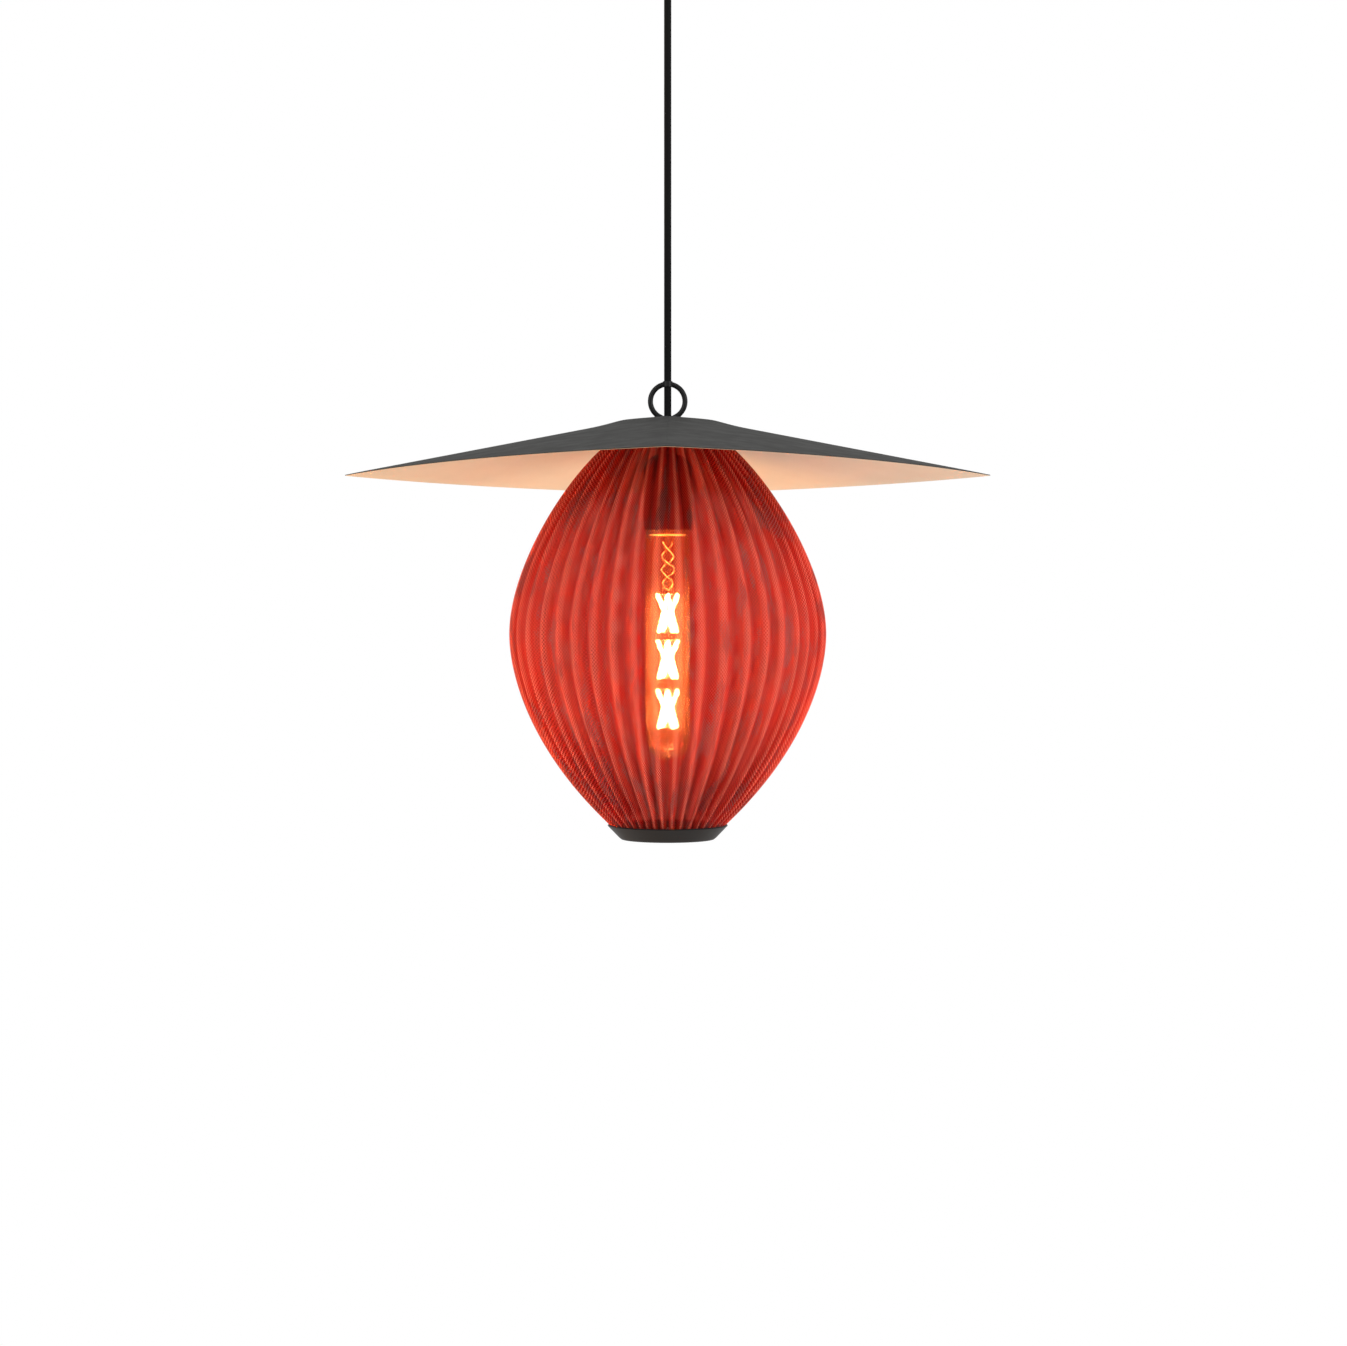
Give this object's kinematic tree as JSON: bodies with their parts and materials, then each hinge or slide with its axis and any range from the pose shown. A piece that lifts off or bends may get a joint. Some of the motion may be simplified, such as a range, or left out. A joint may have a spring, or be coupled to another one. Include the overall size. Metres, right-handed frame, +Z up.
{
  "type": "pendant lamp",
  "caption": "Ceiling pendant lamp: a wide four-cornered metal hat over a pleated see-through red lantern with a screw-in tubular bulb, hung on a cord from a round canopy.",
  "frame": {"origin": "centre of the ceiling bracket's upper face, on the lamp's axis", "axes": "+Z up, out of the bracket's upper face into the ceiling; +X along the line of the two mounting holes; the hat's four corners point along +-X and +-Y, and its front corner is -Y"},
  "size_m": [0.626, 0.626, 0.9155],
  "materials": {
    "ceiling_paint": "black powder coat, fine satin",
    "bracket_steel": "zinc plated",
    "screw_steel": "zinc plated",
    "grip_plastic": "black moulded",
    "block_plastic": "natural moulded",
    "cord_cover": "black woven cover over a round cable",
    "core_live": "brown insulation",
    "core_neutral": "blue insulation",
    "core_earth": "green and yellow insulation",
    "hat_paint": "dark grey powder coat outside, warm cream inside",
    "black_paint": "black satin paint",
    "nut_steel": "zinc plated",
    "lantern_cloth": "red open weave, pleated",
    "holder_plastic": "black moulded",
    "insert_ceramic": "white moulded",
    "contact_brass": "bright",
    "cap_nickel": "nickel plated",
    "bulb_glass": "clear, lightly warm",
    "button_glass": "dark glass",
    "stem_glass": "clear",
    "disc_gold": "bright",
    "lead_wire": "bright wire",
    "filament": "glowing warm white"
  },
  "bodies": {
    "ceiling_mount": {"ceiling_bracket": "bracket_steel", "canopy_cup": "ceiling_paint", "canopy_screws": "screw_steel", "cord_grip": "grip_plastic", "grip_screw": "screw_steel", "grip_nut": "nut_steel", "terminal_block": "block_plastic", "terminal_screws": "screw_steel", "core_live": "core_live", "core_neutral": "core_neutral", "core_earth": "core_earth", "cord_tail": "cord_cover"},
    "cord_bend": {"cord_bend": "cord_cover"},
    "cord": {"cord": "cord_cover"},
    "lamp": {"hanging_ring": "black_paint", "hat": "hat_paint", "nipple": "nut_steel", "hat_washer": "nut_steel", "hat_nut": "nut_steel", "carrier_nut_upper": "nut_steel", "lantern_carrier": "black_paint", "carrier_nut_lower": "nut_steel", "cloth_clamp_top": "black_paint", "clamp_screws": "screw_steel", "lantern_cloth": "lantern_cloth", "base_ring": "black_paint", "cloth_clamp_foot": "black_paint", "base_screws": "screw_steel", "holder_cap": "holder_plastic", "neck_screw": "screw_steel", "holder_skirt": "holder_plastic", "holder_insert": "insert_ceramic", "screw_shell": "contact_brass", "holder_contact": "contact_brass", "side_contact": "contact_brass", "holder_wires": "core_live"},
    "bulb_foot": {"bulb_insulator": "button_glass", "bulb_contact": "cap_nickel"},
    "bulb": {"bulb_glass": "bulb_glass", "bulb_cap": "cap_nickel", "bulb_stem": "stem_glass", "heat_disc": "disc_gold", "filament_supports": "lead_wire", "filaments_upper": "filament", "filaments_middle": "filament", "filaments_lower": "filament"}
  },
  "joints": [
    {"name": "swing_front_back", "type": "hinge", "parent": "ceiling_mount", "child": "cord_bend", "pos_m": [0, 0, -0.066], "axis": [1, 0, 0], "range_deg": [-20, 20]},
    {"name": "swing_side", "type": "hinge", "parent": "cord_bend", "child": "cord", "pos_m": [0, 0, -0.066], "axis": [0, 1, 0], "range_deg": [-20, 20]},
    {"name": "lamp_twist", "type": "hinge", "parent": "cord", "child": "lamp", "pos_m": [0, 0, -0.509], "axis": [0, 0, 1], "range_deg": [-90, 90], "stiffness_Nm_per_rad": 0.02},
    {"name": "bulb_travel", "type": "slide", "parent": "lamp", "child": "bulb_foot", "axis": [0, 0, -1], "range_m": [0, 0.0218]},
    {"name": "bulb_turn", "type": "hinge", "parent": "bulb_foot", "child": "bulb", "pos_m": [0, 0, -0.6], "axis": [0, 0, -1], "range_deg": [0, 2160]}
  ],
  "couplings": [
    {"joint": "bulb_travel", "follows": "bulb_turn", "m_per_rad": 0.00057757}
  ]
}
